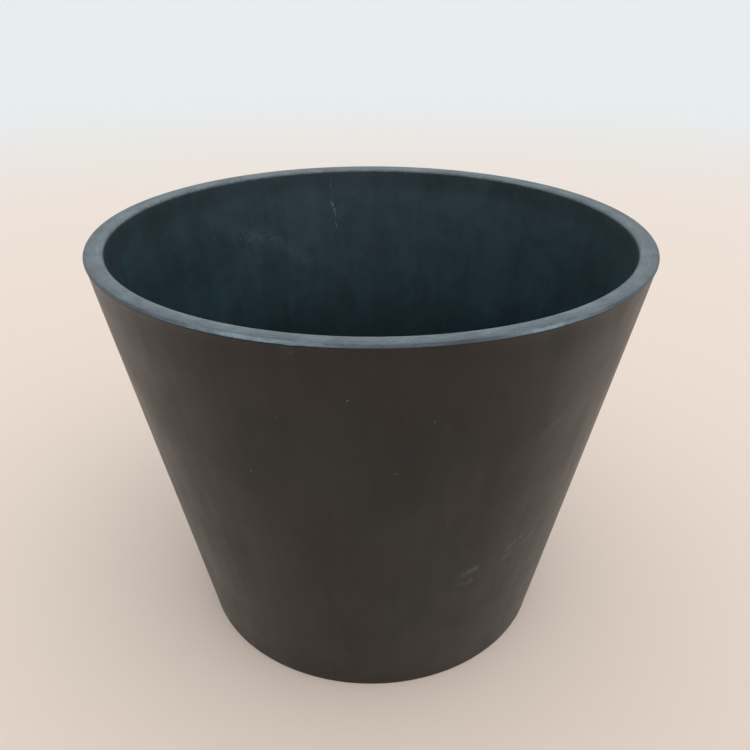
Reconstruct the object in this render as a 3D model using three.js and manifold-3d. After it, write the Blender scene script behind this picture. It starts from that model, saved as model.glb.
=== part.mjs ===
// A round tapered plant pot of moulded resin and stone powder, with a reservoir at the bottom.
// The reservoir plate stands on four wicking cups inside the pot, and a rubber plug closes the
// drain hole in the pot's floor. Millimetres, +Z up, origin at the middle of the foot, on the ground.
import * as THREE from "three";
import { mergeVertices } from "three/addons/utils/BufferGeometryUtils.js";
import Module from "manifold-3d";

// Pot: overall sizes.
const rimRadius = 150;
const potHeight = 234;
const baseRadius = 106;

// Pot: wall, rim edges, floor and foot.
const wall = 9.6; // measured level, from the outside to the inside
const rimOuterEdge = 1.2; // radius of the rim's outer edge
const rimInnerEdge = 3.0; // radius of the rim's inner edge
const floorThickness = 9;
const floorFillet = 12; // radius between the floor and the inner wall
const footDepth = 4; // how far the underside is recessed above the ground
const footWidth = 16; // width of the ring that the pot stands on
const footEdge = 1.5; // bevel at the bottom of the outer wall
const drainRadius = 10;
const potSides = 64;

// Clearances.
const seatGap = 0.3; // under a piece that rests on another
const socketGap = 0.3; // round a cup in its socket
const plugGap = 0.3; // round the plug's stem in the drain hole
const plateGap = 0.8; // between the plate's edge and the inner wall
const accessGap = 3.5; // round the plug's head as it passes through the plate

// Reservoir plate.
const reservoirDepth = 40; // from the pot's floor to the top of the plate
const plateThickness = 3.6;
const skirtDepth = 11; // from the plate's top to the bottom of its skirt
const skirtWall = 2.4;
const collarDepth = 9; // from the plate's top to the bottom of each hole's collar
const collarWall = 2.4;
const ribWidth = 2.4;
const ribDepth = 8; // from the plate's top to the bottom of each rib
const plateSides = 48;
const holeSides = 24;

// Drain slots of the plate.
const slotWidth = 3.4;
const slotLength = 12;
const outerSlotMargin = 7; // from the plate's edge to the outer slots
const outerSlotsPerCup = 4;
const innerSlotMargin = 4; // from the middle collar to the inner slots
const innerSlotsPerCup = 2;
const slotArcSteps = 3;

// Wicking cups.
const cupCount = 4;
const cupPitchRadius = 58;
const cupRadius = 18.5; // outside, at the plate
const cupFootRadius = 14.5; // outside, at the pot's floor
const cupWall = 2;
const cupFlange = 3.6; // how far the flange reaches past the cup's wall
const cupFlangeThickness = 1.6;
const cupSlotPairs = 3;
const cupSlotWidth = 3.2;
const cupSlotHeight = 20;
const cupHoleRadius = 2.2;
const cupSides = 24;
const cupHoleSides = 8;

// Drain plug.
const plugHeadRadius = 15;
const plugHeadThickness = 3;
const plugStemTaper = 0.8; // how much narrower the stem's end is
const plugRingRadius = 7; // from the ring's middle to the middle of its rod
const plugRingRod = 1.8;
const plugSides = 32;
const plugRodSides = 8;

// Heights and radii that follow from the sizes above.
const floorTop = footDepth + floorThickness;
const plateTop = floorTop + reservoirDepth;
const plugHeadRest = floorTop + seatGap;
const middleHoleRadius = plugHeadRadius + accessGap;
const socketRadius = cupRadius + socketGap;

const outerRadiusAt = (z) => baseRadius + ((rimRadius - baseRadius) * z) / potHeight;
const innerRadiusAt = (z) => outerRadiusAt(z) - wall;
const wallAngle = Math.atan((rimRadius - baseRadius) / potHeight);

const joinDepth = 0.3; // how far a shape reaches into the one it is joined to
const cutMargin = 1; // how far a cutting shape reaches past the faces it cuts

const wasm = await Module();
wasm.setup();

const point = (r, z) => new THREE.Vector2(r, z);

// Points of a round edge, from one angle to another about a centre, in the (r, z) plane.
function arc(centre, radius, from, to, steps) {
  const points = [];
  for (let i = 0; i <= steps; i += 1) {
    const angle = from + ((to - from) * i) / steps;
    points.push(point(centre.x + radius * Math.cos(angle), centre.y + radius * Math.sin(angle)));
  }
  return points;
}

// A solid turned about Z from an outline that runs anticlockwise in the (r, z) plane.
function turned(outline, sides) {
  const loop = outline[0].x === 0 ? outline : [...outline, outline[0].clone()];
  return new THREE.LatheGeometry(loop, sides).rotateX(Math.PI / 2);
}

// A disc or a straight-sided cone frustum on the Z axis.
function disc(bottomRadius, topRadius, bottom, top, sides) {
  const outline = [point(0, bottom), point(bottomRadius, bottom), point(topRadius, top), point(0, top)];
  return turned(outline, sides);
}

// A ring of rectangular section on the Z axis.
function ring(innerRadius, outerRadius, bottom, top, sides) {
  const outline = [
    point(innerRadius, bottom),
    point(outerRadius, bottom),
    point(outerRadius, top),
    point(innerRadius, top),
  ];
  return turned(outline, sides);
}

// A bar lying along X from one radius to another.
function bar(from, to, width, bottom, top) {
  const box = new THREE.BoxGeometry(to - from, width, top - bottom);
  return box.translate((from + to) / 2, 0, (bottom + top) / 2);
}

// A slot with round ends, its length along X from one radius to another.
function slot(from, to, width, bottom, top) {
  const half = width / 2;
  const shape = new THREE.Shape();
  shape.absarc(to - half, 0, half, -Math.PI / 2, Math.PI / 2);
  shape.absarc(from + half, 0, half, Math.PI / 2, (3 * Math.PI) / 2);
  shape.closePath();
  const options = { depth: top - bottom, bevelEnabled: false, curveSegments: slotArcSteps };
  return new THREE.ExtrudeGeometry(shape, options).translate(0, 0, bottom);
}

function toSolid(geometry) {
  const bare = geometry.clone();
  bare.deleteAttribute("normal");
  bare.deleteAttribute("uv");
  const merged = mergeVertices(bare, 1e-4);
  const vertProperties = new Float32Array(merged.attributes.position.array);
  const triVerts = new Uint32Array(merged.index.array);
  return new wasm.Manifold(new wasm.Mesh({ numProp: 3, vertProperties, triVerts }));
}

function toGeometry(solid) {
  const mesh = solid.getMesh();
  const geometry = new THREE.BufferGeometry();
  geometry.setAttribute("position", new THREE.BufferAttribute(mesh.vertProperties, 3));
  geometry.setIndex(new THREE.BufferAttribute(mesh.triVerts, 1));
  geometry.computeVertexNormals();
  return geometry;
}

const join = (solid, geometries) => geometries.reduce((sum, part) => sum.add(toSolid(part)), solid);
const cut = (solid, geometries) => geometries.reduce((rest, part) => rest.subtract(toSolid(part)), solid);

// Copies of a geometry turned about Z, evenly spaced from a first angle.
function around(geometry, count, firstAngle) {
  const step = (2 * Math.PI) / count;
  return Array.from({ length: count }, (_, i) => geometry.clone().rotateZ(firstAngle + i * step));
}

function named(name, geometry, material) {
  const mesh = new THREE.Mesh(geometry, material);
  mesh.name = name;
  return mesh;
}

// The pot's shell: a tapered wall of even thickness with a flat rim, a thick floor with a drain
// hole, and a recessed underside that leaves a ring to stand on.
function potShell() {
  const outerEdgeCentre = point(
    outerRadiusAt(potHeight) - rimOuterEdge * Math.tan(Math.PI / 4 + wallAngle / 2),
    potHeight - rimOuterEdge,
  );
  const innerEdgeCentre = point(
    innerRadiusAt(potHeight) + rimInnerEdge * Math.tan(Math.PI / 4 - wallAngle / 2),
    potHeight - rimInnerEdge,
  );
  const filletCentre = point(
    innerRadiusAt(floorTop) - floorFillet * Math.tan(Math.PI / 4 - wallAngle / 2),
    floorTop + floorFillet,
  );
  const outline = [
    point(drainRadius, footDepth),
    point(baseRadius - footWidth - footDepth / 2, footDepth),
    point(baseRadius - footWidth, 0),
    point(baseRadius - footEdge, 0),
    point(outerRadiusAt(footEdge), footEdge),
    ...arc(outerEdgeCentre, rimOuterEdge, -wallAngle, Math.PI / 2, 2),
    ...arc(innerEdgeCentre, rimInnerEdge, Math.PI / 2, Math.PI - wallAngle, 3),
    ...arc(filletCentre, floorFillet, -wallAngle, -Math.PI / 2, 4),
    point(drainRadius, floorTop),
  ];
  const finish = new THREE.MeshStandardMaterial({ color: 0x2b2927, roughness: 0.55, metalness: 0 });
  return named("pot_shell", turned(outline, potSides), finish);
}

// The reservoir plate: a perforated disc with a skirt round its edge, a collared hole in the
// middle that the plug passes through, and a stepped socket for each wicking cup.
function reservoirPlate(cupAngles) {
  const skirtBottom = plateTop - skirtDepth;
  const plateBottom = plateTop - plateThickness;
  const edgeTop = innerRadiusAt(plateTop) - plateGap;
  const edgeBottom = innerRadiusAt(skirtBottom) - plateGap;
  const collarBottom = plateTop - collarDepth;
  const socketFloor = plateTop - cupFlangeThickness - seatGap;
  const outline = [
    point(middleHoleRadius, plateBottom),
    point(edgeBottom - skirtWall, plateBottom),
    point(edgeBottom - skirtWall, skirtBottom),
    point(edgeBottom, skirtBottom),
    point(edgeTop, plateTop),
    point(middleHoleRadius, plateTop),
  ];
  const socketCollarRadius = socketRadius + collarWall;
  const middleCollar = ring(
    middleHoleRadius,
    middleHoleRadius + collarWall,
    collarBottom,
    plateBottom + joinDepth,
    holeSides,
  );
  const rib = bar(
    middleHoleRadius + collarWall / 2,
    edgeBottom - skirtWall / 2,
    ribWidth,
    plateTop - ribDepth,
    plateBottom + joinDepth,
  );
  const socketCollar = disc(
    socketCollarRadius,
    socketCollarRadius,
    collarBottom,
    plateBottom + joinDepth,
    cupSides,
  ).translate(cupPitchRadius, 0, 0);
  const socketHole = disc(
    socketRadius,
    socketRadius,
    collarBottom - cutMargin,
    plateTop + cutMargin,
    cupSides,
  );
  const socketStep = disc(
    cupRadius + cupFlange + socketGap,
    cupRadius + cupFlange + socketGap,
    socketFloor,
    plateTop + cutMargin,
    cupSides,
  );
  socketHole.translate(cupPitchRadius, 0, 0);
  socketStep.translate(cupPitchRadius, 0, 0);

  const outerSlotEnd = edgeBottom - outerSlotMargin;
  const slotBottom = plateBottom - cutMargin;
  const slotTop = plateTop + cutMargin;
  const outerSlot = slot(outerSlotEnd - slotLength, outerSlotEnd, slotWidth, slotBottom, slotTop);
  const innerSlotStart = middleHoleRadius + collarWall + innerSlotMargin;
  const innerSlot = slot(innerSlotStart, innerSlotStart + slotLength, slotWidth, slotBottom, slotTop);

  const firstCup = cupAngles[0];
  let solid = toSolid(turned(outline, plateSides));
  solid = join(solid, [middleCollar]);
  solid = join(solid, around(rib, cupCount, firstCup + Math.PI / cupCount));
  solid = join(solid, around(socketCollar, cupCount, firstCup));
  solid = cut(solid, around(socketHole, cupCount, firstCup));
  solid = cut(solid, around(socketStep, cupCount, firstCup));
  const outerSlotCount = outerSlotsPerCup * cupCount;
  const innerSlotCount = innerSlotsPerCup * cupCount;
  solid = cut(solid, around(outerSlot, outerSlotCount, firstCup + Math.PI / outerSlotCount));
  solid = cut(solid, around(innerSlot, innerSlotCount, firstCup + Math.PI / innerSlotCount));
  const finish = new THREE.MeshStandardMaterial({ color: 0x1c1d1e, roughness: 0.5, metalness: 0 });
  return named("reservoir_plate", toGeometry(solid), finish);
}

// One wicking cup on its own axis: a tapered cup with a flange that hangs in the plate's socket,
// slots down its side and holes in its bottom, so that the soil in it stands in the water.
function wickingCup(name) {
  const flangeBottom = plateTop - cupFlangeThickness;
  const cupBottom = floorTop + seatGap;
  const outline = [
    point(0, cupBottom),
    point(cupFootRadius, cupBottom),
    point(cupRadius, flangeBottom),
    point(cupRadius + cupFlange, flangeBottom),
    point(cupRadius + cupFlange, plateTop),
    point(cupRadius - cupWall, plateTop),
    point(cupFootRadius - cupWall, cupBottom + cupWall),
    point(0, cupBottom + cupWall),
  ];
  const slotBottom = cupBottom + cupWall + cupSlotWidth;
  const slotPair = bar(-cupRadius, cupRadius, cupSlotWidth, slotBottom, slotBottom + cupSlotHeight);
  const holeTop = cupBottom + cupWall + cutMargin;
  const hole = disc(cupHoleRadius, cupHoleRadius, cupBottom - cutMargin, holeTop, cupHoleSides);
  const holeRing = hole.clone().translate((cupFootRadius - cupWall) * 0.6, 0, 0);
  const step = Math.PI / cupSlotPairs;
  let solid = toSolid(turned(outline, cupSides));
  for (let i = 0; i < cupSlotPairs; i += 1) solid = cut(solid, [slotPair.clone().rotateZ(i * step)]);
  solid = cut(solid, [hole, ...around(holeRing, 2 * cupSlotPairs, step / 2)]);
  const finish = new THREE.MeshStandardMaterial({ color: 0x1a1b1c, roughness: 0.48, metalness: 0 });
  return named(name, toGeometry(solid), finish);
}

// The drain plug: a tapered rubber stem in the drain hole, a flat head on the pot's floor, and a
// ring to pull it by.
function drainPlug() {
  const stemRadius = drainRadius - plugGap;
  const stemBottom = footDepth + plugGap;
  const headTop = plugHeadRest + plugHeadThickness;
  const outline = [
    point(0, stemBottom),
    point(stemRadius - plugStemTaper, stemBottom),
    point(stemRadius, plugHeadRest),
    point(plugHeadRadius, plugHeadRest),
    point(plugHeadRadius, headTop - plugHeadThickness / 3),
    point(plugHeadRadius - plugHeadThickness / 3, headTop),
    point(0, headTop),
  ];
  const pullRing = new THREE.TorusGeometry(plugRingRadius, plugRingRod, plugRodSides, 3 * plugRodSides);
  pullRing.rotateX(Math.PI / 2).translate(0, 0, headTop + plugRingRadius);
  const solid = join(toSolid(turned(outline, plugSides)), [pullRing]);
  const finish = new THREE.MeshStandardMaterial({ color: 0x161616, roughness: 0.7, metalness: 0 });
  return named("drain_plug", toGeometry(solid), finish);
}

const pot = new THREE.Group();
pot.add(potShell());

const insert = new THREE.Group();
const cupAngles = Array.from({ length: cupCount }, (_, i) => ((2 * i + 1) * Math.PI) / cupCount);
insert.add(reservoirPlate(cupAngles));
cupAngles.forEach((angle, i) => {
  const cup = wickingCup(`wicking_cup_${i + 1}`);
  cup.position.set(cupPitchRadius * Math.cos(angle), cupPitchRadius * Math.sin(angle), 0);
  cup.rotation.z = angle;
  insert.add(cup);
});
pot.add(insert);
pot.add(drainPlug());

export default pot;
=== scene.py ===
"""A tapered black plant pot with a lift-out reservoir plate, wicking cups and a drain plug.

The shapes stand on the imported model: heights, widths and places are read from its boxes.
Lengths are in metres, +Z is up, and the origin is the middle of the foot on the ground.
"""

import math

import bpy
import numpy as np
from bpy.props import FloatProperty, FloatVectorProperty, PointerProperty
from mathutils import Matrix, Vector


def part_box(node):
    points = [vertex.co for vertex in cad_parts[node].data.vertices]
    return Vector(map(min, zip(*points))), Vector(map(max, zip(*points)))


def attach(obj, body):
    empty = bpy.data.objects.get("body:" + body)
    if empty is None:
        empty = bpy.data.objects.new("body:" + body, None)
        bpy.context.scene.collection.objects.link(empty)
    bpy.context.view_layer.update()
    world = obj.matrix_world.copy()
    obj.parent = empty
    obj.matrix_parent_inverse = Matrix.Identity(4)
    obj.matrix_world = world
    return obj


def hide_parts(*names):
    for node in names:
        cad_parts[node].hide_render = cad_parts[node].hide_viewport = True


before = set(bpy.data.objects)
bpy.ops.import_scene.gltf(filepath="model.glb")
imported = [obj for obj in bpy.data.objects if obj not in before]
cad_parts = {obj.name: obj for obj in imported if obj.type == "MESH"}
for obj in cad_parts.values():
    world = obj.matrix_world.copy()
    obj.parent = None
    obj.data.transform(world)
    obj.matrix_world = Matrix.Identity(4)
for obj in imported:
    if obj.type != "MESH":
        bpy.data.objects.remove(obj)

bl_info = {
    "name": "Tapered Plant Pot",
    "version": (1, 0, 0),
    "blender": (4, 5, 0),
    "location": "3D View > Sidebar > Plant Pot",
    "description": "Builds a tapered resin plant pot with its reservoir insert and drain plug",
    "category": "Object",
}

SHARP_ANGLE = math.radians(40)
EASED_ANGLE = math.radians(35)
TURN = 2 * math.pi
QUARTER = math.pi / 2
MM = 0.001

# How finely round things are cut, and how long a step on a straight stretch may be.
SHELL_SIDES, PLATE_SIDES, ROUND_SIDES, ROD_SIDES, BORE_SIDES = 384, 192, 96, 64, 24
SHELL_STEP, PLATE_STEP, CUP_STEP, PLUG_STEP = 4.0 * MM, 12 * MM, 4 * MM, 1.5 * MM

POLE = 0.05 * MM  # how near the axis a solid's outline ends
LAP = 0.3 * MM  # how far a part is let into the one that it's joined to
SPILL = 1.0 * MM  # how far a cutter stands out of what it cuts

FLOOR_REACH = 60.0
FLOOR_FADE = (0.5, 2.5)  # from the near colour to the far one, as distances from the axis
LIGHT_WAY = (0.5, -0.7, 1.0)
LIGHT_SPREAD = math.radians(80)
SENSOR_WIDTH = 36
NEAREST = 0.01

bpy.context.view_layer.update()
POT_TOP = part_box("pot_shell")[1][2]
PLATE_LOW, PLATE_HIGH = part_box("reservoir_plate")
CUP_LOW, CUP_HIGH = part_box("wicking_cup_1")
PLUG_LOW, PLUG_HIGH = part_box("drain_plug")
CUP_NAMES = [name for name in sorted(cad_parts) if name.startswith("wicking_cup")]
FIRST_CUP = math.atan2(CUP_LOW[1] + CUP_HIGH[1], CUP_LOW[0] + CUP_HIGH[0])


# ---- Sizes and colours that a user would change


def setting(kind, **rules):
    """A function (name, description, default) that makes one kind of property."""

    def make(name, description, default):
        return kind(name=name, description=description, default=default, **rules)

    return make


metres = setting(FloatProperty, unit="LENGTH", precision=4)
radians = setting(FloatProperty, unit="ROTATION")
colour = setting(FloatVectorProperty, size=3, min=0, max=4, subtype="COLOR")
share = setting(FloatProperty, min=0, max=1, subtype="FACTOR")
strength = setting(FloatProperty, min=0)
focal_length = setting(FloatProperty, unit="CAMERA")


class PlantPotShellSettings(bpy.types.PropertyGroup):
    height: metres("Height", "From the ground to the flat of the rim", POT_TOP)
    rim_radius: metres("Rim radius", "Where the outer wall's line meets the rim's height", 0.150)
    base_radius: metres("Base radius", "Where the outer wall's line meets the ground", 0.106)
    wall: metres("Wall", "Wall thickness, measured level", 0.0096)
    rim_inner_edge: metres("Inner rim edge", "Radius of the rim's inner edge", 0.0030)
    floor_thickness: metres("Floor thickness", "Thickness of the pot's floor", 0.009)
    floor_fillet: metres("Floor fillet", "Radius between the floor and the wall", 0.012)
    foot_depth: metres("Foot depth", "How far the underside is recessed", 0.004)
    foot_width: metres("Foot width", "Width of the ring that the pot stands on", 0.016)
    foot_edge: metres("Foot edge", "Radius at the bottom of the wall", 0.0012)
    drain_radius: metres("Drain radius", "Radius of the drain hole", 0.010)
    unevenness: metres("Unevenness", "How deep the soft dents of the moulded wall are", 0.00014)
    outside: colour("Outside", "Colour of the outer wall", (0.0096, 0.0064, 0.0044))
    inside: colour("Inside", "Colour of the inner wall", (0.0142, 0.0326, 0.0432))
    rim: colour("Rim", "Colour of the sanded rim", (0.127, 0.166, 0.184))
    scuff: colour("Scuffs", "Colour of rubbed places and fine scratches", (0.240, 0.270, 0.290))
    roughness: share("Roughness", "Roughness of the outer wall", 0.40)


class PlantPotInsertSettings(bpy.types.PropertyGroup):
    plate_thickness: metres("Plate thickness", "Thickness of the reservoir plate", 0.0036)
    skirt_wall: metres("Skirt wall", "Thickness of the plate's skirt", 0.0024)
    middle_hole: metres("Middle hole", "Radius of the hole that the plug passes through", 0.0185)
    collar_depth: metres("Collar depth", "From the plate's top to the bottom of each collar", 0.009)
    collar_wall: metres("Collar wall", "Thickness of the collars", 0.0024)
    rib_width: metres("Rib width", "Thickness of the ribs under the plate", 0.0024)
    rib_depth: metres("Rib depth", "From the plate's top to the bottom of each rib", 0.008)
    slot_width: metres("Slot width", "Width of the drain slots", 0.0034)
    slot_length: metres("Slot length", "Length of the drain slots", 0.012)
    slot_from_edge: metres("Slot from edge", "From the skirt to the outer drain slots", 0.007)
    slot_from_collar: metres("Slot from collar", "From the middle collar to the inner drain slots", 0.004)
    cup_pitch: metres("Cup pitch radius", "From the pot's axis to a cup's axis", 0.058)
    cup_radius: metres("Cup radius", "Outside radius of a cup at the plate", 0.0185)
    cup_foot: metres("Cup foot radius", "Outside radius of a cup at the floor", 0.0145)
    cup_wall: metres("Cup wall", "Thickness of a cup's wall", 0.002)
    cup_flange: metres("Cup flange", "How far a cup's flange reaches past its wall", 0.0036)
    cup_hole: metres("Cup hole", "Radius of the holes in a cup's floor", 0.0022)
    cup_slot_width: metres("Cup slot width", "Width of the slots in a cup's wall", 0.0032)
    cup_slot_length: metres("Cup slot length", "Length of the slots in a cup's wall", 0.020)
    cup_slot_rise: metres("Cup slot rise", "From a cup's floor to the middle of its slots", 0.0132)
    flange_thickness: metres("Flange thickness", "Thickness of a cup's flange", 0.0016)
    gap: metres("Gap", "Room round a cup in its socket", 0.0003)
    edge: metres("Edge", "Radius of the moulded edges", 0.0003)
    resin: colour("Resin", "Colour of the plate and the cups", (0.016, 0.017, 0.018))


class PlantPotPlugSettings(bpy.types.PropertyGroup):
    head_radius: metres("Head radius", "Radius of the plug's head", 0.015)
    head_thickness: metres("Head thickness", "Thickness of the plug's head", 0.003)
    stem_radius: metres("Stem radius", "Radius of the stem under the head", 0.0097)
    stem_taper: metres("Stem taper", "How much narrower the stem's end is", 0.0008)
    ring_radius: metres("Ring radius", "From the ring's middle to the middle of its rod", 0.007)
    ring_rod: metres("Ring rod", "Radius of the ring's rod", 0.0018)
    edge: metres("Edge", "Radius of the moulded edges", 0.00025)
    rubber: colour("Rubber", "Colour of the plug", (0.012, 0.012, 0.0125))


class PlantPotStageSettings(bpy.types.PropertyGroup):
    floor: colour("Floor", "Colour of the floor round the pot", (0.915, 0.748, 0.650))
    far_floor: colour("Far floor", "Colour of the floor far from the pot", (0.845, 0.860, 0.866))
    sky: colour("Sky", "Colour of the soft light all round", (0.905, 0.965, 0.985))
    sky_strength: strength("Sky strength", "Brightness of the light all round", 0.865)
    sun: colour("Sun", "Colour of the broad light", (1.00, 0.98, 0.96))
    sun_strength: strength("Sun strength", "Brightness of the broad light", 0.66)
    eye_distance: metres("Eye distance", "Level distance from the pot's axis to the camera", 0.4038)
    eye_height: metres("Eye height", "Height of the camera over the ground", 0.3557)
    eye_pitch: radians("Eye pitch", "How far the camera looks down", math.radians(27.84))
    eye_yaw: radians("Eye yaw", "How far the camera looks to the right", math.radians(0.29))
    eye_roll: radians("Eye roll", "How far the camera leans", math.radians(0.16))
    lens: focal_length("Lens", "Focal length", 36.33)


# ---- Outlines and surfaces, in numpy


def arc(centre, radius, start, end, steps):
    """Points centre + radius (cos a, sin a), the angle a going from start to end in equal steps."""
    a = np.linspace(start, end, steps + 1)
    return np.stack([centre[0] + radius * np.cos(a), centre[1] + radius * np.sin(a)], axis=1)


def circle(radius, sides):
    """The corners (radius cos a, radius sin a) of a regular polygon."""
    return arc((0, 0), radius, 0, TURN, sides)[:-1]


def rounded(corners, steps):
    """A closed outline of corners (x, y, radius), each with a radius made an arc tangent to both its sides.

    With half the angle between the sides h, the arc's centre lies radius / sin h from the corner, on the
    line that halves the angle, and the arc touches the sides radius / tan h from the corner.
    """
    pieces = []
    for i, (x, y, radius) in enumerate(corners):
        corner = np.array((x, y))
        if radius == 0:
            pieces.append(corner[None])
            continue
        before = np.array(corners[i - 1][:2]) - corner
        after = np.array(corners[(i + 1) % len(corners)][:2]) - corner
        before, after = before / np.linalg.norm(before), after / np.linalg.norm(after)
        half = math.acos(float(before @ after)) / 2
        middle = (before + after) / np.linalg.norm(before + after)
        centre = corner + middle * radius / math.sin(half)
        first = corner + before * radius / math.tan(half) - centre
        last = corner + after * radius / math.tan(half) - centre
        start = math.atan2(first[1], first[0])
        swing = (math.atan2(last[1], last[0]) - start + math.pi) % TURN - math.pi
        pieces.append(arc(centre, radius, start, start + swing, steps))
    return np.concatenate(pieces)


def finely(path, longest, closed):
    """The same path with every stretch from p to q cut into equal steps, p + t (q - p), none too long."""
    starts = path if closed else path[:-1]
    spans = np.roll(path, -1, axis=0)[: len(starts)] - starts
    counts = np.ceil(np.linalg.norm(spans, axis=1) / longest).clip(1).astype(int)
    index = np.repeat(np.arange(len(starts)), counts)
    t = (np.arange(len(index)) - np.repeat(np.cumsum(counts) - counts, counts)) / counts[index]
    fine = starts[index] + t[:, None] * spans[index]
    return fine if closed else np.concatenate([fine, path[-1:]])


def turned(path, sides, closed=True):
    """A path in the (r, z) plane turned about Z, (r cos a, r sin a, z), as the arrays of a solid."""
    a = np.arange(sides) * TURN / sides
    r, z = path[:, 0:1], path[:, 1:2]
    return surface_of(np.stack([r * np.cos(a), r * np.sin(a), z * np.ones_like(a)], axis=2), closed)


def prism(outline, low, high):
    """A flat outline (x, y) drawn straight up from one height to the other, as the arrays of a solid."""
    rows = [np.column_stack([outline, np.full(len(outline), z)]) for z in (low, high)]
    return surface_of(np.stack(rows), False)


def surface_of(grid, closed):
    """The points, quads and triangles of a (rows, columns, 3) grid whose columns run round and close.

    Rows close too on a ring. Otherwise the first and the last row are each filled by a fan round the
    mean of their points, which is the pole where a turned path ends on the axis.
    """
    rows, columns = grid.shape[:2]
    index = np.arange(rows * columns).reshape(rows, columns)
    here = index if closed else index[:-1]
    above = np.roll(index, -1, axis=0) if closed else index[1:]
    quads = np.stack([here, np.roll(here, -1, 1), np.roll(above, -1, 1), above], axis=2).reshape(-1, 4)
    points = grid.reshape(-1, 3)
    fans = np.empty((0, 3), int)
    if not closed:
        first, last = index[0], index[-1]
        low = np.stack([np.roll(first, -1), first, np.full(columns, len(points))], axis=1)
        high = np.stack([last, np.roll(last, -1), np.full(columns, len(points) + 1)], axis=1)
        points = np.concatenate([points, [grid[0].mean(axis=0), grid[-1].mean(axis=0)]])
        fans = np.concatenate([low, high])
    return points, quads, fans


def moved(solid, turn=0.0, x=0.0, y=0.0):
    """A solid moved level and then turned about Z: (X cos a - Y sin a, X sin a + Y cos a, Z)."""
    points, quads, fans = solid
    shifted = points + np.array((x, y, 0.0))
    c, s = math.cos(turn), math.sin(turn)
    return shifted @ np.array([(c, s, 0), (-s, c, 0), (0, 0, 1)]), quads, fans


def around(solid, count, first, x=0.0):
    """Copies of a solid at a radius x, evenly spaced about Z from a first angle."""
    return [moved(solid, first + i * TURN / count, x) for i in range(count)]


def mesh_of(name, solids):
    """One mesh of several solids, their arrays put end to end."""
    starts = np.cumsum([0] + [len(points) for points, _, _ in solids])
    points = np.concatenate([points for points, _, _ in solids])
    quads = np.concatenate([quads + start for (_, quads, _), start in zip(solids, starts)])
    fans = np.concatenate([fans + start for (_, _, fans), start in zip(solids, starts)])
    mesh = bpy.data.meshes.new(name)
    mesh.vertices.add(len(points))
    mesh.vertices.foreach_set("co", points.astype(np.float32).ravel())
    corners = np.concatenate([quads.ravel(), fans.ravel()])
    sizes = np.concatenate([np.full(len(quads), 4), np.full(len(fans), 3)])
    mesh.loops.add(len(corners))
    mesh.loops.foreach_set("vertex_index", corners.astype(np.int32))
    mesh.polygons.add(len(sizes))
    mesh.polygons.foreach_set("loop_start", (np.cumsum(sizes) - sizes).astype(np.int32))
    mesh.update(calc_edges=True)
    mesh.validate()
    return mesh


def turned_mesh(name, corners, steps, longest):
    """The mesh of corners (r, z, radius), from the axis out and back to it, turned about Z."""
    outline = rounded(corners, steps)
    outline[:, 0] = np.maximum(outline[:, 0], POLE)
    return mesh_of(name, [turned(finely(outline, longest, False), ROUND_SIDES, closed=False)])


def new_object(name, data):
    """A new object in the scene."""
    item = bpy.data.objects.new(name, data)
    bpy.context.scene.collection.objects.link(item)
    return item


def finished(mesh, kind, tool=None, **settings):
    """The mesh as one modifier leaves it; the mesh and the tool's mesh are used up."""
    objects = [new_object("work", each) for each in (mesh, tool) if each]
    step = objects[0].modifiers.new("step", kind)
    if tool:
        step.object = objects[1]
    for name, value in settings.items():
        setattr(step, name, value)
    graph = bpy.context.evaluated_depsgraph_get()
    result = bpy.data.meshes.new_from_object(objects[0].evaluated_get(graph))
    result.name = mesh.name
    for each in objects:
        used = each.data
        bpy.data.objects.remove(each)
        bpy.data.meshes.remove(used)
    return result


def joined(mesh, solids):
    return finished(mesh, "BOOLEAN", mesh_of("tool", solids), operation="UNION", solver="EXACT")


def cut(mesh, solids):
    return finished(mesh, "BOOLEAN", mesh_of("tool", solids), operation="DIFFERENCE", solver="EXACT")


def eased(mesh, edge):
    """The mesh with its sharp edges given a small round edge of even width."""
    sharp_only = {"limit_method": "ANGLE", "angle_limit": EASED_ANGLE}
    return finished(mesh, "BEVEL", width=edge, segments=2, harden_normals=True, **sharp_only)


def paint(mesh, name, values):
    """Stores one number for each vertex under a name, for the materials to read."""
    attribute = mesh.attributes.new(name, "FLOAT", "POINT")
    attribute.data.foreach_set("value", np.asarray(values, np.float32).ravel())


def coordinates(mesh):
    """The x, y and z of the mesh's vertices, as three arrays."""
    flat = np.empty(len(mesh.vertices) * 3, np.float32)
    mesh.vertices.foreach_get("co", flat)
    return flat.reshape(-1, 3).T.astype(float)


def place(name, mesh, material, body, slot, *nodes):
    """Puts a finished mesh in the scene: it rides on a body and stands for CAD nodes."""
    piece = new_object(name, mesh)
    mesh.materials.clear()
    mesh.materials.append(material)
    mesh.polygons.foreach_set("use_smooth", np.ones(len(mesh.polygons), bool))
    mesh.set_sharp_from_angle(angle=SHARP_ANGLE)
    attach(piece, body)
    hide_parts(*nodes)
    return piece


def smooth_step(value, low, high):
    """0 below low and 1 above high, with t t (3 - 2 t) between."""
    t = np.clip((value - low) / (high - low), 0, 1)
    return t * t * (3 - 2 * t)


def ripple(angle, height, turns, waves, seed):
    """A smooth uneven field: the mean of cos(n a + k z + phase), with whole numbers n and seeded phases."""
    phases = np.random.default_rng(seed).uniform(0, TURN, len(turns))
    terms = [np.cos(n * angle + k * height + phase) for n, k, phase in zip(turns, waves, phases)]
    return sum(terms) / len(terms)


def spot(angle, height, at_angle, at_height, half_angle, half_height):
    """A soft spot on the wall: exp(-(da / half_angle)^2 - (dz / half_height)^2)."""
    turn = (angle - at_angle + math.pi) % TURN - math.pi
    return np.exp(-((turn / half_angle) ** 2) - ((height - at_height) / half_height) ** 2)


# ---- Material nodes


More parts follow.
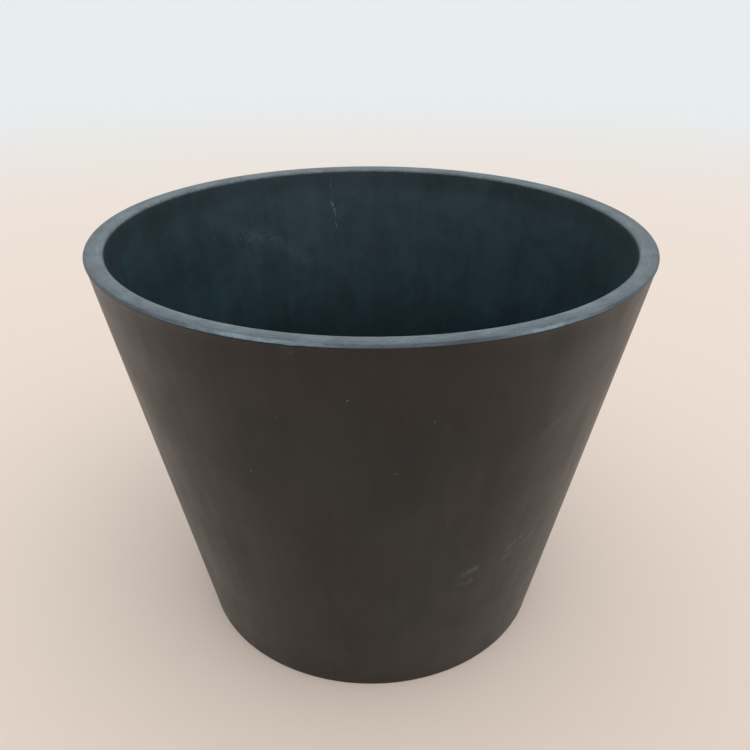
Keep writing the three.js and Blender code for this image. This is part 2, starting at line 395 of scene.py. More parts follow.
class Nodes:
    """Adds nodes to a tree. An input is set to a number or a colour, or linked where it is a socket."""

    def __init__(self, tree):
        self.tree = tree
        self.count = 0

    def add(self, kind, inputs=(), **settings):
        node = self.tree.nodes.new(kind)
        node.location = (220 * (self.count // 4), -260 * (self.count % 4))
        self.count += 1
        for name, value in settings.items():
            setattr(node, name, value)
        for key, value in dict(inputs).items():
            self.feed(node.inputs[key], value)
        return node

    def feed(self, end, value):
        if isinstance(value, bpy.types.NodeSocket):
            self.tree.links.new(value, end)
        else:
            end.default_value = value

    def maths(self, operation, a, b=0.0, clamp=False):
        return self.add("ShaderNodeMath", {0: a, 1: b}, operation=operation, use_clamp=clamp).outputs[0]

    def times(self, *factors):
        product = factors[0]
        for factor in factors[1:]:
            product = self.maths("MULTIPLY", product, factor)
        return product

    def plus(self, *terms):
        total = terms[0]
        for term in terms[1:]:
            total = self.maths("ADD", total, term)
        return total

    def minus(self, a, b, clamp=False):
        return self.maths("SUBTRACT", a, b, clamp)

    def vector(self, operation, a, b=(0.0, 0.0, 0.0), output=0):
        return self.add("ShaderNodeVectorMath", {0: a, 1: b}, operation=operation).outputs[output]

    def scaled(self, vector, scale):
        """A vector or a colour times a number."""
        return self.add("ShaderNodeVectorMath", {0: vector, "Scale": scale}, operation="SCALE").outputs[0]

    def dot(self, a, b):
        return self.vector("DOT_PRODUCT", a, b, output="Value")

    def size(self, vector):
        return self.vector("LENGTH", vector, output="Value")

    def join(self, x, y, z):
        return self.add("ShaderNodeCombineXYZ", {"X": x, "Y": y, "Z": z}).outputs[0]

    def split(self, vector):
        return self.add("ShaderNodeSeparateXYZ", {0: vector}).outputs

    def noise(self, vector, scale, detail=2.0, roughness=0.5, distortion=0.0):
        inputs = {"Vector": vector, "Scale": scale, "Detail": detail, "Roughness": roughness}
        inputs["Distortion"] = distortion
        return self.add("ShaderNodeTexNoise", inputs).outputs["Fac"]

    def remap(self, value, low, high, to_low=0.0, to_high=1.0):
        inputs = {"Value": value, "From Min": low, "From Max": high, "To Min": to_low, "To Max": to_high}
        return self.add("ShaderNodeMapRange", inputs, interpolation_type="SMOOTHSTEP").outputs[0]

    def blend(self, factor, a, b):
        """a where the factor is 0 and b where it is 1, for numbers."""
        return self.add("ShaderNodeMix", {0: factor, 2: a, 3: b}, data_type="FLOAT").outputs[0]

    def mix(self, factor, a, b):
        """a where the factor is 0 and b where it is 1, for colours."""
        a, b = (each if isinstance(each, bpy.types.NodeSocket) else (*each, 1.0) for each in (a, b))
        return self.add("ShaderNodeMix", {0: factor, 6: a, 7: b}, data_type="RGBA").outputs[2]

    def attribute(self, name):
        return self.add("ShaderNodeAttribute", attribute_name=name).outputs["Fac"]

    def object_coordinates(self):
        return self.add("ShaderNodeTexCoord").outputs["Object"]

    def shared(self, name, **inputs):
        """The output of a shared group, made on first use; the input width feeds the socket Width."""
        tree = bpy.data.node_groups.get(name) or GROUPS[name](name)
        node = self.add("ShaderNodeGroup", node_tree=tree)
        for label, value in inputs.items():
            self.feed(node.inputs[label.capitalize()], value)
        return node.outputs[0]


FLOAT, VECTOR = "NodeSocketFloat", "NodeSocketVector"


def new_group(name, kind, vectors, **numbers):
    """An empty node group, as (its Nodes, its inputs, a function).

    The inputs are vectors, then numbers with their defaults. The function links a socket to the
    group's one output, of the kind given, and returns the group's tree.
    """
    tree = bpy.data.node_groups.new(name, "ShaderNodeTree")
    for label in vectors:
        tree.interface.new_socket(name=label, in_out="INPUT", socket_type=VECTOR)
    for label, default in numbers.items():
        tree.interface.new_socket(name=label, in_out="INPUT", socket_type=FLOAT).default_value = default
    tree.interface.new_socket(name="Result", in_out="OUTPUT", socket_type=kind)
    nodes = Nodes(tree)
    entry = nodes.add("NodeGroupInput")
    end = nodes.add("NodeGroupOutput")

    def give(socket):
        tree.links.new(socket, end.inputs[0])
        return tree

    return nodes, entry.outputs, give


def along_the_wall_group(name):
    """Coordinates for a pattern on a round wall: the way round it, and a stretched height and radius."""
    nodes, given, give = new_group(name, VECTOR, ["Vector"], Girth=0.15, Stretch=1.0, Depth=0.0)
    x, y, z = nodes.split(given["Vector"])
    level = nodes.join(x, y, 0.0)
    round_it = nodes.scaled(nodes.vector("NORMALIZE", level), given["Girth"])
    rise = nodes.plus(nodes.times(z, given["Stretch"]), nodes.times(nodes.size(level), given["Depth"]))
    return give(nodes.vector("ADD", round_it, nodes.join(0.0, 0.0, rise)))


def unrolled_group(name):
    """The wall laid flat: the angle round the axis times a girth, the height, and nothing."""
    nodes, given, give = new_group(name, VECTOR, ["Vector"], Girth=0.13)
    x, y, z = nodes.split(given["Vector"])
    return give(nodes.join(nodes.times(nodes.maths("ARCTAN2", y, x), given["Girth"]), z, 0.0))


def stroke_group(name):
    """One stroke on the unrolled wall: 1 on the line from Start to End, 0 at Width from it and beyond."""
    nodes, given, give = new_group(name, FLOAT, ["Place", "Start", "End"], Width=0.001)
    off = nodes.vector("SUBTRACT", given["Place"], given["Start"])
    way = nodes.vector("SUBTRACT", given["End"], given["Start"])
    along = nodes.maths("DIVIDE", nodes.dot(off, way), nodes.plus(nodes.dot(way, way), 1e-9), clamp=True)
    away = nodes.size(nodes.vector("SUBTRACT", off, nodes.scaled(way, along)))
    return give(nodes.remap(nodes.maths("DIVIDE", away, given["Width"]), 0.0, 1.0, 1.0, 0.0))


def specks_group(name):
    """Tiny specks: near the middle of a few Voronoi cells, the share of cells given."""
    nodes, given, give = new_group(name, FLOAT, ["Vector"], Scale=200.0, Radius=0.12, Share=0.05)
    cells = nodes.add("ShaderNodeTexVoronoi", {"Vector": given["Vector"], "Scale": given["Scale"]})
    chance = nodes.add("ShaderNodeSeparateColor", {0: cells.outputs["Color"]}).outputs
    chosen = nodes.maths("LESS_THAN", chance[0], given["Share"])
    reach = nodes.times(given["Radius"], nodes.remap(chance[1], 0.0, 1.0, 0.4, 1.0))
    near = nodes.minus(1.0, nodes.maths("DIVIDE", cells.outputs["Distance"], reach), clamp=True)
    return give(nodes.times(nodes.maths("POWER", near, 0.5), chosen))


def hairlines_group(name):
    """Fine curved scratches: thin bands where a smooth noise crosses its middle value, in patches."""
    nodes, given, give = new_group(name, FLOAT, ["Vector"], Scale=20.0, Width=0.004, Share=0.5)
    field = nodes.noise(given["Vector"], given["Scale"], detail=1.0, distortion=0.4)
    off = nodes.maths("ABSOLUTE", nodes.minus(field, 0.5))
    line = nodes.minus(1.0, nodes.maths("DIVIDE", off, given["Width"]), clamp=True)
    shifted = nodes.vector("ADD", given["Vector"], (3.1, 7.7, 1.3))
    patch = nodes.noise(shifted, nodes.times(given["Scale"], 1.7), detail=1.0)
    edge = nodes.minus(1.0, given["Share"])
    return give(nodes.times(line, nodes.remap(patch, edge, nodes.plus(edge, 0.08))))


GROUPS = {
    "Along the wall": along_the_wall_group,
    "Unrolled wall": unrolled_group,
    "Stroke": stroke_group,
    "Specks": specks_group,
    "Hairlines": hairlines_group,
}


def surface(name, gloss=0.5):
    """A new material, as (material, its Nodes, its Principled shader)."""
    material = bpy.data.materials.new(name)
    material.use_nodes = True
    tree = material.node_tree
    tree.nodes.clear()
    nodes = Nodes(tree)
    shader = nodes.add("ShaderNodeBsdfPrincipled")
    shader.inputs["Specular IOR Level"].default_value = gloss
    end = nodes.add("ShaderNodeOutputMaterial")
    tree.links.new(shader.outputs[0], end.inputs["Surface"])
    return material, nodes, shader


def dress(nodes, shader, body, rough, relief, strength, distance):
    """Feeds a shader its colour, its roughness, and a relief by way of a bump."""
    bump = nodes.add("ShaderNodeBump", {"Strength": strength, "Distance": distance, "Height": relief})
    for label, value in (("Base Color", body), ("Roughness", rough), ("Normal", bump.outputs[0])):
        nodes.feed(shader.inputs[label], value)


# Marks on the walls, listed one by one: start and end as (degrees round the axis, mm up), width in mm,
# strength.
OUTER_MARKS = [
    ((-67.3, 88.6), (-65.6, 89.8), 3.4, 0.20),
    ((-65.0, 90.4), (-64.2, 91.2), 2.6, 0.17),
    ((-67.2, 80.4), (-65.2, 81.6), 3.0, 0.18),
    ((-56.6, 88.4), (-53.8, 90.6), 3.2, 0.17),
    ((-55.4, 96.8), (-52.2, 100.0), 3.2, 0.18),
    ((-50.4, 94.0), (-46.8, 98.2), 3.2, 0.17),
    ((-47.6, 102.6), (-44.8, 106.4), 3.4, 0.12),
    ((-56.0, 172.0), (-51.0, 180.0), 3.6, 0.08),
    ((-93.6, 207.0), (-93.6, 207.2), 0.7, 0.60),
    ((-105.9, 195.1), (-105.9, 195.3), 0.7, 0.50),
    ((-79.3, 195.0), (-79.3, 195.2), 0.7, 0.50),
    ((-66.1, 210.2), (-66.1, 210.4), 0.7, 0.60),
    ((-85.9, 166.4), (-85.6, 166.5), 0.7, 0.55),
    ((-74.1, 130.5), (-74.1, 130.7), 0.6, 0.40),
    ((-88.1, 27.1), (-88.1, 27.3), 0.6, 0.40),
    ((-101.9, 228.6), (-101.7, 228.8), 0.9, 0.45),
]
INNER_MARKS = [
    ((140.3, 209.1), (129.2, 197.1), 9.0, 0.050),
    ((129.2, 197.1), (121.1, 190.5), 8.0, 0.080),
    ((121.1, 190.5), (110.4, 171.6), 7.0, 0.070),
    ((133.0, 183.0), (124.0, 198.0), 7.0, 0.050),
    ((101.7, 210.1), (100.8, 194.0), 0.8, 0.55),
    ((102.6, 212.0), (101.7, 210.1), 1.4, 0.35),
    ((102.2, 228.6), (102.2, 221.5), 0.8, 0.35),
    ((119.1, 207.7), (119.1, 207.9), 0.8, 0.45),
    ((116.1, 161.0), (116.1, 161.2), 0.8, 0.50),
    ((69.3, 185.3), (69.3, 185.5), 0.8, 0.45),
    ((136.8, 191.9), (136.8, 192.1), 0.8, 0.45),
    ((55.0, 149.6), (48.9, 146.9), 8.0, 0.040),
]


# Stretches of the rim's bevel painted paler, as scraped wear and as a painted reflection of the bright sky:
# the middle in degrees round the axis, and the half angle.
SCRAPED_AND_GLINT = [(-109, 0.20), (-61, 0.13)]


def strokes(nodes, place, girth, marks):
    """The marks on one wall, each a stroke of its own strength, added up."""
    total = 0.0
    for start, end, width, strength in marks:
        ends = [(math.radians(angle) * girth, height * MM, 0.0) for angle, height in (start, end)]
        mask = nodes.shared("Stroke", place=place, start=ends[0], end=ends[1], width=width * MM)
        total = nodes.plus(total, nodes.times(mask, strength))
    return total


def pot_resin(s):
    """Resin and stone powder: a warm dark skin outside, a cooler cloudy one inside, and a sanded rim."""
    material, nodes, shader = surface("pot_resin", gloss=0.36)
    here = nodes.object_coordinates()
    painted = nodes.attribute("rim_zone")
    between = nodes.times(painted, nodes.minus(1.0, painted))
    scratchy = nodes.minus(nodes.noise(here, 1500.0, detail=2.0, roughness=0.6), 0.5)
    rim_zone = nodes.remap(nodes.plus(painted, nodes.times(between, scratchy, 7.0)), 0.15, 0.90)
    inner_zone = nodes.attribute("inner_zone")
    bevel_zone = nodes.attribute("bevel_zone")
    crease = nodes.attribute("crease")

    # Outer wall: a faint mottle, and fainter streaks that run up it.
    up_the_wall = nodes.shared("Along the wall", vector=here, girth=0.15, stretch=0.12)
    streaks = nodes.noise(up_the_wall, 120.0, detail=4.0, roughness=0.6)
    patches = nodes.noise(here, 24.0, detail=5.0, roughness=0.62)
    flow = nodes.plus(nodes.times(streaks, 0.35), nodes.times(patches, 0.65))
    warmth = nodes.remap(nodes.noise(here, 11.0, detail=2.0), 0.35, 0.65)
    greyer = Vector(s.outside) * 0.96 + Vector((-0.0014, 0.0010, 0.0012))
    outside = nodes.mix(warmth, s.outside, greyer)
    outside = nodes.scaled(outside, nodes.remap(flow, 0.34, 0.66, 0.55, 1.50))

    # Inner wall: cloudy smudges, and painted shade by height.
    clouds = nodes.noise(here, 34.0, detail=5.0, roughness=0.62, distortion=0.6)
    drift = nodes.noise(here, 9.0, detail=2.0, roughness=0.5)
    cloudy = nodes.plus(nodes.times(clouds, 0.5), nodes.times(drift, 0.3), nodes.times(streaks, 0.2))
    # Painted shade by height: darker deep in the pot, lightest at about three quarters of the height, a
    # little darker above, and a painted shadow band just under the rim's lip.
    up = nodes.times(nodes.split(here)[2], 1 / s.height)
    depth = nodes.times(
        nodes.remap(up, 0.47, 0.70, 0.70, 1.20),
        nodes.remap(up, 0.74, 0.86, 1.0, 0.90),
        nodes.remap(up, 0.925, 0.965, 1.0, 0.66),
    )
    inside = nodes.scaled(s.inside, nodes.times(nodes.remap(cloudy, 0.34, 0.66, 0.64, 1.42), depth))

    # Rim: fine rings and grit left by sanding, and broad uneven patches.
    round_rim = nodes.shared("Along the wall", vector=here, girth=0.012, stretch=0.3, depth=1.0)
    rings = nodes.noise(round_rim, 1500.0, detail=2.0, roughness=0.6)
    grit = nodes.noise(here, 900.0, detail=2.0)
    sanded = nodes.plus(nodes.times(rings, 0.6), nodes.times(grit, 0.4))
    worn = nodes.noise(here, 70.0, detail=3.0)
    shade = nodes.times(
        nodes.remap(sanded, 0.32, 0.68, 0.72, 1.28),
        nodes.remap(worn, 0.3, 0.7, 0.84, 1.16),
    )
    warmer = nodes.remap(nodes.noise(here, 45.0, detail=3.0), 0.36, 0.64)
    girth = s.rim_radius - s.wall
    from_axis = nodes.size(nodes.vector("MULTIPLY", here, (1.0, 1.0, 0.0)))
    outwards = nodes.remap(from_axis, girth, s.rim_radius, 1.12, 0.78)
    warm_rim = Vector(s.rim) * 0.97 + Vector((0.010, -0.002, 0.0))
    rim = nodes.scaled(nodes.mix(warmer, s.rim, warm_rim), outwards)
    rim = nodes.scaled(rim, shade)
    # The rim's bevel: a painted dark reflection all round, and paler stretches that are scraped wear and a
    # painted reflection of the sky.
    scraped_and_glint = nodes.attribute("scraped_and_glint")
    dark_bevel_reflection = Vector(s.rim) * 0.40 + Vector((0.002, -0.004, 0.008))
    bevel = nodes.mix(scraped_and_glint, dark_bevel_reflection, Vector(s.rim) * 1.40 + Vector((-0.014, 0.0, 0.018)))
    rim = nodes.mix(bevel_zone, rim, nodes.scaled(bevel, shade))

    body = nodes.mix(inner_zone, outside, inside)
    body = nodes.mix(rim_zone, body, rim)

    # Paler marks: hairlines, dust specks, and the rubbed places.
    scatter = nodes.add("ShaderNodeTexNoise", {"Vector": here, "Scale": 260.0, "Detail": 2.0})
    wobble = nodes.scaled(nodes.vector("SUBTRACT", scatter.outputs["Color"], (0.5, 0.5, 0.5)), 0.004)
    flat = nodes.vector("ADD", nodes.shared("Unrolled wall", vector=here, girth=girth), wobble)
    outer = nodes.times(strokes(nodes, flat, girth, OUTER_MARKS), nodes.minus(1.0, inner_zone))
    inner = nodes.times(strokes(nodes, flat, girth, INNER_MARKS), inner_zone)
    broken = nodes.remap(nodes.noise(here, 520.0, detail=4.0, roughness=0.65), 0.38, 0.60, 0.10, 1.0)
    hairlines = nodes.shared("Hairlines", vector=here, scale=22.0, width=0.006, share=0.42)
    lines = nodes.times(hairlines, inner_zone)
    dots = nodes.shared("Specks", vector=here, scale=130.0, radius=0.09, share=0.035)
    chips = nodes.shared("Specks", vector=here, scale=380.0, radius=0.16, share=0.09)
    dust = nodes.shared("Specks", vector=here, scale=210.0, radius=0.11, share=0.10)
    pale = nodes.plus(
        nodes.times(nodes.plus(outer, inner), broken),
        nodes.times(lines, 0.03),
        nodes.times(dots, 0.30),
        nodes.times(chips, rim_zone, 0.55),
        nodes.times(dust, inner_zone, 0.55),
    )
    pale = nodes.maths("MINIMUM", pale, 1.0)
    body = nodes.mix(pale, body, s.scuff)
    # Painted shade in the crease under the lip: darkened nearly to black.
    body = nodes.mix(nodes.times(crease, 0.8), body, (0.004, 0.004, 0.004))

    # Roughness: satin outside, duller inside, dull on the sanded rim.
    rough = nodes.remap(flow, 0.30, 0.70, s.roughness + 0.05, s.roughness - 0.05)
    rough = nodes.blend(inner_zone, rough, nodes.remap(clouds, 0.30, 0.72, 0.60, 0.48))
    rough = nodes.blend(rim_zone, rough, nodes.remap(sanded, 0.30, 0.70, 0.46, 0.56))
    rough = nodes.plus(rough, nodes.times(pale, 0.2), nodes.times(bevel_zone, -0.08))

    # Relief: a fine grain, the streaks, the sanded rings.
    grain = nodes.noise(here, 1400.0, detail=2.0)
    relief = nodes.plus(
        nodes.times(grain, 0.25),
        nodes.times(streaks, 0.3),
        nodes.times(sanded, rim_zone, 0.7),
        nodes.times(lines, -0.3),
    )
    dress(nodes, shader, body, rough, relief, strength=0.3, distance=0.0002)
    return material


def insert_resin(s):
    """Moulded plastic of the plate and cups: a fine spark-eroded skin, flow clouds and a little dust."""
    material, nodes, shader = surface("insert_resin", gloss=0.45)
    here = nodes.object_coordinates()
    clouds = nodes.noise(here, 34.0, detail=4.0, roughness=0.55, distortion=0.3)
    spread = nodes.shared("Along the wall", vector=here, girth=0.10, stretch=0.3, depth=0.12)
    fan = nodes.noise(spread, 90.0, detail=3.0)
    flow = nodes.plus(nodes.times(clouds, 0.6), nodes.times(fan, 0.4))
    body = nodes.scaled(s.resin, nodes.remap(flow, 0.32, 0.68, 0.78, 1.30))
    dots = nodes.shared("Specks", vector=here, scale=150.0, radius=0.08, share=0.06)
    lines = nodes.shared("Hairlines", vector=here, scale=40.0, width=0.008, share=0.35)
    pale = nodes.plus(nodes.times(dots, 0.30), nodes.times(lines, 0.07))
    body = nodes.mix(pale, body, (0.18, 0.18, 0.17))
    grain = nodes.noise(here, 1100.0, detail=3.0, roughness=0.65)
    rough = nodes.plus(nodes.remap(flow, 0.30, 0.70, 0.50, 0.38), nodes.times(grain, 0.08))
    relief = nodes.plus(grain, nodes.times(fan, 0.4), nodes.times(lines, -0.4))
    dress(nodes, shader, body, rough, relief, strength=0.35, distance=0.00015)
    return material


def plug_rubber(s):
    """Matt rubber: an uneven greyish bloom, and the fine grain of its mould."""
    material, nodes, shader = surface("plug_rubber", gloss=0.35)
    here = nodes.object_coordinates()
    bloom = nodes.noise(here, 120.0, detail=4.0, roughness=0.6, distortion=0.5)
    dots = nodes.shared("Specks", vector=here, scale=420.0, radius=0.10, share=0.10)
    body = nodes.scaled(s.rubber, nodes.remap(bloom, 0.30, 0.70, 0.75, 1.8))
    body = nodes.mix(nodes.times(dots, 0.25), body, (0.20, 0.20, 0.20))
    rough = nodes.remap(bloom, 0.30, 0.70, 0.66, 0.84)
    grain = nodes.noise(here, 2200.0, detail=2.0)
    relief = nodes.plus(grain, nodes.times(bloom, 0.5))
    dress(nodes, shader, body, rough, relief, strength=0.4, distance=0.0001)
    return material


# ---- Pieces


def lean(s):
    """How far the outer wall leans out for each metre up."""
    return (s.rim_radius - s.base_radius) / s.height


def rim_outline(s):
    """The rim's outer edge, from the wall up to the flat, as points (r, z).

    Each point is so many mm in from the wall's line and so many down from the flat: a thin crease
    under the lip that the mould leaves, a scraped bevel, and a faint line where it meets the flat.
    """
    offsets = [
        (0.14, 2.30), (0.15, 1.95), (0.32, 1.78), (0.32, 1.62), (0.06, 1.46), (0.00, 1.36), (0.00, 1.16),
        (0.06, 1.02), (0.14, 0.92), (0.84, 0.20), (0.94, 0.13), (1.04, 0.14), (1.18, 0.06), (1.40, 0.00),
    ]
    inward, down = np.array(offsets).T * MM
    return np.stack([s.rim_radius - lean(s) * down - inward, s.height - down], axis=1)


def shell_outline(s):
    """The shell's outline in the (r, z) plane, anticlockwise and closed.

    Straight walls, r = base + slope z and the same less the wall inside, meet the floor, the foot and
    the rim's flat in arcs that are tangent to both.
    """
    floor_top = s.foot_depth + s.floor_thickness
    ring_inside = s.base_radius - s.foot_width
    rim = rim_outline(s)
    corners = [
        (s.drain_radius, s.foot_depth, 0.6 * MM),
        (ring_inside - s.foot_depth / 2, s.foot_depth, 1.0 * MM),
        (ring_inside, 0.0, 0.8 * MM),
        (s.base_radius, 0.0, s.foot_edge),
        *((r, z, 0.0) for r, z in rim),
        (s.rim_radius - s.wall, s.height, s.rim_inner_edge),
        (s.base_radius + lean(s) * floor_top - s.wall, floor_top, s.floor_fillet),
        (s.drain_radius, floor_top, 0.6 * MM),
    ]
    return finely(rounded(corners, 10), SHELL_STEP, True)


class PLANTPOT_OT_shell(bpy.types.Operator):
    """Build the pot's shell"""

    bl_idname = "plant_pot.shell"
    bl_label = "Pot Shell"

    def execute(self, context):
        s = context.scene.plant_pot_shell
        mesh = mesh_of("pot_shell_skin", [turned(shell_outline(s), SHELL_SIDES)])
        x, y, z = coordinates(mesh)
        angle, radius = np.arctan2(y, x), np.hypot(x, y)
        line = s.base_radius + lean(s) * z
        inside = (radius < line - s.wall / 2) & (z > s.foot_depth + s.floor_thickness / 2)
        outside = (radius > line - s.wall / 2) & (z > 2 * s.foot_edge)
        down = s.height - z

        # Soft dents, always into the wall; a hollow under the lip; an uneven lip with one nick.
        dents = 0.5 + 0.5 * ripple(angle, z, (2, 3, 5, 8, 11), (9, -14, 22, 35, -48), 4)
        below_lip = 1 - smooth_step(down, 3 * MM, 14 * MM)
        hollow = 0.14 * MM * below_lip * (down > 2.4 * MM)
        sunk = np.where(outside & (down > 2.2 * MM), s.unevenness * dents + hollow, 0)
        ripples = np.where(inside & (down > s.rim_inner_edge), s.unevenness * dents * 0.7, 0)
        waver = ripple(angle, 0, (4, 9, 17, 31), (0, 0, 0, 0), 9) * 0.10 * MM
        nick = spot(angle, z, math.radians(-101.9), s.height - 1.6 * MM, 0.014, 0.9 * MM) * 0.35 * MM
        lip = outside & (down < 2.2 * MM) & (down > 0.9 * MM)
        radius_now = radius - sunk + ripples
        z = z + np.where(lip, waver - nick, 0)
        flat = np.stack([radius_now * np.cos(angle), radius_now * np.sin(angle), z], axis=1)
        mesh.vertices.foreach_set("co", flat.astype(np.float32).ravel())
        mesh.update()

        inner_edge = 1 - smooth_step(down, 0.1 * MM, 2.8 * MM)
        outer_edge = 1 - smooth_step(down, 1.38 * MM, 1.5 * MM)
        paint(mesh, "rim_zone", np.where(radius < line - s.wall / 2, inner_edge, outer_edge))
        paint(mesh, "inner_zone", inside.astype(float))
        paint(mesh, "bevel_zone", outside * outer_edge * smooth_step(down, 0.04 * MM, 0.2 * MM))
        # Stretches of the bevel that are scraped wear and carry a painted reflection of the sky.
        scraped_and_glint = [spot(angle, z, math.radians(at), s.height, half, 10 * MM) for at, half in SCRAPED_AND_GLINT]
        paint(mesh, "scraped_and_glint", np.max(scraped_and_glint, axis=0))
        # Where the crease under the lip gets its painted shade.
        paint(mesh, "crease", outside * np.exp(-(((down - 1.70 * MM) / (0.22 * MM)) ** 2)))
        place("pot_shell_skin", mesh, pot_resin(s), "pot", "shell", "pot_shell")
        return {"FINISHED"}


def stadium(length, width, steps):
    """A slot's outline, its length along X and half circles at both ends, centred on the origin."""
    half, reach = width / 2, (length - width) / 2
    right = arc((reach, 0), half, -QUARTER, QUARTER, steps)
    left = arc((-reach, 0), half, QUARTER, 3 * QUARTER, steps)
    return np.concatenate([right, left])


def tube(inner, outer, low, high, sides):
    """A ring of rectangular section about Z."""
    return turned(np.array([(inner, low), (outer, low), (outer, high), (inner, high)]), sides)


class PLANTPOT_OT_plate(bpy.types.Operator):
    """Build the reservoir plate"""

    bl_idname = "plant_pot.plate"
    bl_label = "Reservoir Plate"

    def execute(self, context):
        s = context.scene.plant_pot_insert
        top, low = PLATE_HIGH[2], PLATE_LOW[2]
        under = top - s.plate_thickness
        edge_top = PLATE_HIGH[0]
        edge_low = edge_top - lean(context.scene.plant_pot_shell) * (top - low)
        count = len(CUP_NAMES)

        corners = [
            (s.middle_hole, under, 0),
            (edge_low - s.skirt_wall, under, 0.8 * MM),
            (edge_low - s.skirt_wall, low, 0.5 * MM),
            (edge_low, low, 0.5 * MM),
            (edge_top, top, 0.7 * MM),
            (s.middle_hole, top, 0),
        ]
        outline = finely(rounded(corners, 4), PLATE_STEP, True)
        mesh = mesh_of("reservoir_plate_moulded", [turned(outline, PLATE_SIDES)])
        collar_low, into = top - s.collar_depth, under + LAP
        socket = s.cup_radius + s.gap
        socket_collar = prism(circle(socket + s.collar_wall, ROUND_SIDES), collar_low, into)
        middle_collar = tube(s.middle_hole, s.middle_hole + s.collar_wall, collar_low, into, ROUND_SIDES)
        mesh = joined(mesh, [middle_collar, *around(socket_collar, count, FIRST_CUP, s.cup_pitch)])
        rib_start, rib_end = s.middle_hole + s.collar_wall / 2, edge_low - s.skirt_wall / 2
        half = s.rib_width / 2
        rib = np.array([(rib_start, -half), (rib_end, -half), (rib_end, half), (rib_start, half)])
        ribs = around(prism(rib, top - s.rib_depth, into), count, FIRST_CUP + math.pi / count)
        mesh = joined(mesh, ribs)

        step_low = top - s.flange_thickness - s.gap
        wide = socket + s.cup_flange
        stepped = [(socket, collar_low - SPILL), (socket, step_low), (wide, step_low), (wide, top + SPILL)]
        cutter = turned(np.array(stepped), ROUND_SIDES, closed=False)
        sockets = around(cutter, count, FIRST_CUP, s.cup_pitch)
        slot = prism(stadium(s.slot_length, s.slot_width, 8), under - SPILL, top + SPILL)
        outer_at = edge_low - s.slot_from_edge - s.slot_length / 2
        inner_at = s.middle_hole + s.collar_wall + s.slot_from_collar + s.slot_length / 2
        outer_count, inner_count = 4 * count, 2 * count
        slots = around(slot, outer_count, FIRST_CUP + math.pi / outer_count, outer_at)
        slots += around(slot, inner_count, FIRST_CUP + math.pi / inner_count, inner_at)
        mesh = cut(mesh, sockets + slots)
        mesh = eased(mesh, s.edge)
        place("reservoir_plate_moulded", mesh, insert_resin(s), "insert", "insert", "reservoir_plate")
        return {"FINISHED"}


class PLANTPOT_OT_cups(bpy.types.Operator):
    """Build the wicking cups"""

    bl_idname = "plant_pot.cups"
    bl_label = "Wicking Cups"

    def execute(self, context):
        s = context.scene.plant_pot_insert
        low, top = CUP_LOW[2], CUP_HIGH[2]
        flange_low = top - s.flange_thickness
        brim = s.cup_radius + s.cup_flange
        corners = [
            (0, low, 0),
            (s.cup_foot, low, 1.2 * MM),
            (s.cup_radius, flange_low, 0.4 * MM),
            (brim, flange_low, 0.4 * MM),
            (brim, top, 0.5 * MM),
            (s.cup_radius - s.cup_wall, top, 0.5 * MM),
            (s.cup_foot - s.cup_wall, low + s.cup_wall, 1.5 * MM),
            (0, low + s.cup_wall, 0),
        ]
        bottom_hole = prism(circle(s.cup_hole, BORE_SIDES), low - SPILL, low + s.cup_wall + SPILL)
        across, up = stadium(s.cup_slot_length, s.cup_slot_width, 6).T
        slot_middle = low + s.cup_wall + s.cup_slot_rise
        near, far = 6 * MM, 24 * MM  # inside the wall and outside it, over its whole height
        rows = [np.column_stack([np.full(len(up), r), up, slot_middle + across]) for r in (near, far)]
        side_slot = surface_of(np.stack(rows), False)
        ring_of_holes = 0.6 * (s.cup_foot - s.cup_wall)
        holes = [bottom_hole, *around(bottom_hole, 6, math.pi / 6, ring_of_holes)]
        mesh = turned_mesh("wicking_cup", corners, 4, CUP_STEP)
        mesh = cut(mesh, holes + around(side_slot, 6, 0.0))
        mesh = eased(mesh, s.edge)
        material = insert_resin(s)
        for name in CUP_NAMES:
            lowest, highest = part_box(name)
            x, y = (lowest[0] + highest[0]) / 2, (lowest[1] + highest[1]) / 2
            cup = mesh.copy()
            cup.transform(Matrix.Translation((x, y, 0)) @ Matrix.Rotation(math.atan2(y, x), 4, "Z"))
            place(f"{name}_moulded", cup, material, "insert", "insert", name)
        bpy.data.meshes.remove(mesh)
        return {"FINISHED"}


class PLANTPOT_OT_plug(bpy.types.Operator):
    """Build the drain plug"""

    bl_idname = "plant_pot.plug"
    bl_label = "Drain Plug"

    def execute(self, context):
        s = context.scene.plant_pot_plug
        low = PLUG_LOW[2]
        ring_middle = PLUG_HIGH[2] - s.ring_rod - s.ring_radius
        head_top = ring_middle - s.ring_radius
        head_low = head_top - s.head_thickness
        corners = [
            (0, low, 0),
            (s.stem_radius - s.stem_taper, low, 0.8 * MM),
            (s.stem_radius, head_low, 0.3 * MM),
            (s.head_radius, head_low, 0.5 * MM),
            (s.head_radius, head_top - s.head_thickness / 3, 0.6 * MM),
            (s.head_radius - s.head_thickness / 3, head_top, 0.6 * MM),
            (0, head_top, 0),
        ]
        mesh = turned_mesh("drain_plug_moulded", corners, 5, PLUG_STEP)
        rod = circle(s.ring_rod, 20) + (s.ring_radius, 0)
        points, quads, fans = turned(rod, ROD_SIDES)
        x, y, z = points.T
        upright = np.stack([x, -z, y + ring_middle], axis=1)
        mesh = joined(mesh, [(upright, quads, fans)])
        mesh = eased(mesh, s.edge)
        place("drain_plug_moulded", mesh, plug_rubber(s), "plug", "plug", "drain_plug")
        return {"FINISHED"}


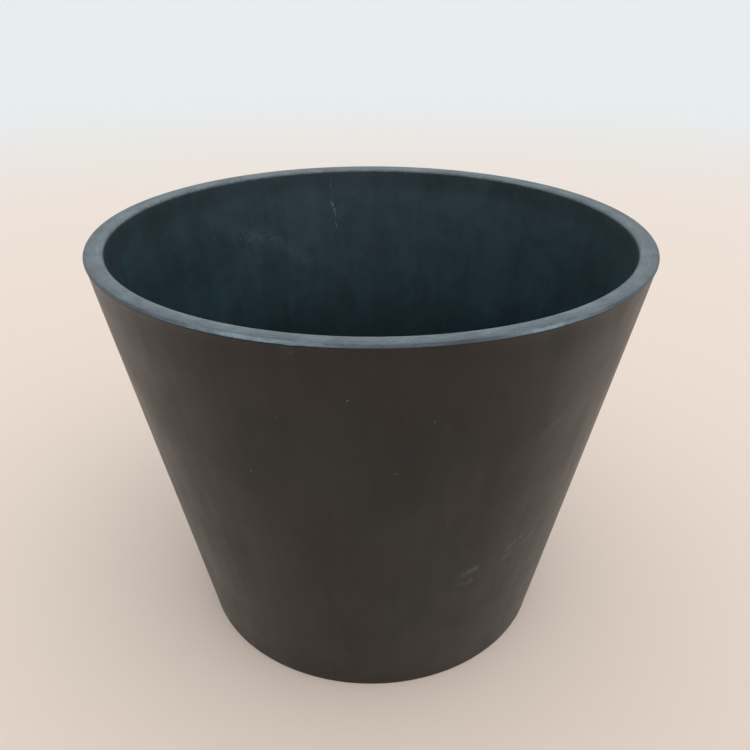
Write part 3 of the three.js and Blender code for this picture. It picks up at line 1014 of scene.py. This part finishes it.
class PLANTPOT_OT_stage(bpy.types.Operator):
    """Set the floor, the soft light and the camera"""

    bl_idname = "plant_pot.stage"
    bl_label = "Stage"

    def execute(self, context):
        s = context.scene.plant_pot_stage
        scene = context.scene
        scene.view_settings.view_transform = "Standard"
        mesh = bpy.data.meshes.new("studio_floor")
        corners = [(FLOOR_REACH * x, FLOOR_REACH * y, 0) for x, y in ((-1, -1), (1, -1), (1, 1), (-1, 1))]
        mesh.from_pydata(corners, [], [(0, 1, 2, 3)])
        floor = new_object("studio_floor", mesh)
        material, nodes, shader = surface("studio_floor")
        away = nodes.remap(nodes.size(nodes.object_coordinates()), *FLOOR_FADE)
        nodes.feed(shader.inputs["Base Color"], nodes.mix(away, s.floor, s.far_floor))
        shader.inputs["Roughness"].default_value = 0.9
        mesh.materials.append(material)

        world = bpy.data.worlds.new("soft_light")
        world.use_nodes = True
        background = world.node_tree.nodes["Background"]
        background.inputs["Color"].default_value = (*s.sky, 1)
        background.inputs["Strength"].default_value = s.sky_strength
        scene.world = world

        light = bpy.data.lights.new("broad_light", "SUN")
        light.angle = LIGHT_SPREAD
        light.energy = s.sun_strength
        light.color = s.sun
        lamp = new_object("broad_light", light)
        lamp.rotation_euler = Vector(LIGHT_WAY).to_track_quat("Z", "Y").to_euler()

        camera = bpy.data.cameras.new("eye")
        camera.lens = s.lens
        camera.sensor_width = SENSOR_WIDTH
        camera.clip_start = NEAREST
        eye = new_object("eye", camera)
        level = math.cos(s.eye_pitch)
        look = Vector((math.sin(s.eye_yaw) * level, math.cos(s.eye_yaw) * level, -math.sin(s.eye_pitch)))
        turn = look.to_track_quat("-Z", "Y").to_matrix() @ Matrix.Rotation(s.eye_roll, 3, "Z")
        eye.matrix_world = Matrix.Translation((0, -s.eye_distance, s.eye_height)) @ turn.to_4x4()
        scene.camera = eye
        return {"FINISHED"}


class PLANTPOT_PT_panel(bpy.types.Panel):
    """Lists the pot's pieces and their sizes and colours"""

    bl_idname = "PLANTPOT_PT_panel"
    bl_label = "Plant Pot"
    bl_space_type = "VIEW_3D"
    bl_region_type = "UI"
    bl_category = "Plant Pot"

    def draw(self, context):
        for section, (settings, *operators) in SECTIONS.items():
            box = self.layout.box()
            for operator in operators:
                box.operator(operator.bl_idname)
            for name in settings.__annotations__:
                box.prop(getattr(context.scene, section), name)


SECTIONS = {
    "plant_pot_shell": (PlantPotShellSettings, PLANTPOT_OT_shell),
    "plant_pot_insert": (PlantPotInsertSettings, PLANTPOT_OT_plate, PLANTPOT_OT_cups),
    "plant_pot_plug": (PlantPotPlugSettings, PLANTPOT_OT_plug),
    "plant_pot_stage": (PlantPotStageSettings, PLANTPOT_OT_stage),
}
CLASSES = [*(cls for section in SECTIONS.values() for cls in section), PLANTPOT_PT_panel]


def register():
    for cls in CLASSES:
        bpy.utils.register_class(cls)
    for name, (settings, *_) in SECTIONS.items():
        setattr(bpy.types.Scene, name, PointerProperty(type=settings))


def unregister():
    for name in SECTIONS:
        delattr(bpy.types.Scene, name)
    for cls in reversed(CLASSES):
        bpy.utils.unregister_class(cls)


def main():
    register()
    bpy.ops.plant_pot.shell()
    bpy.ops.plant_pot.plate()
    bpy.ops.plant_pot.cups()
    bpy.ops.plant_pot.plug()
    bpy.ops.plant_pot.stage()


if __name__ == "__main__":
    main()
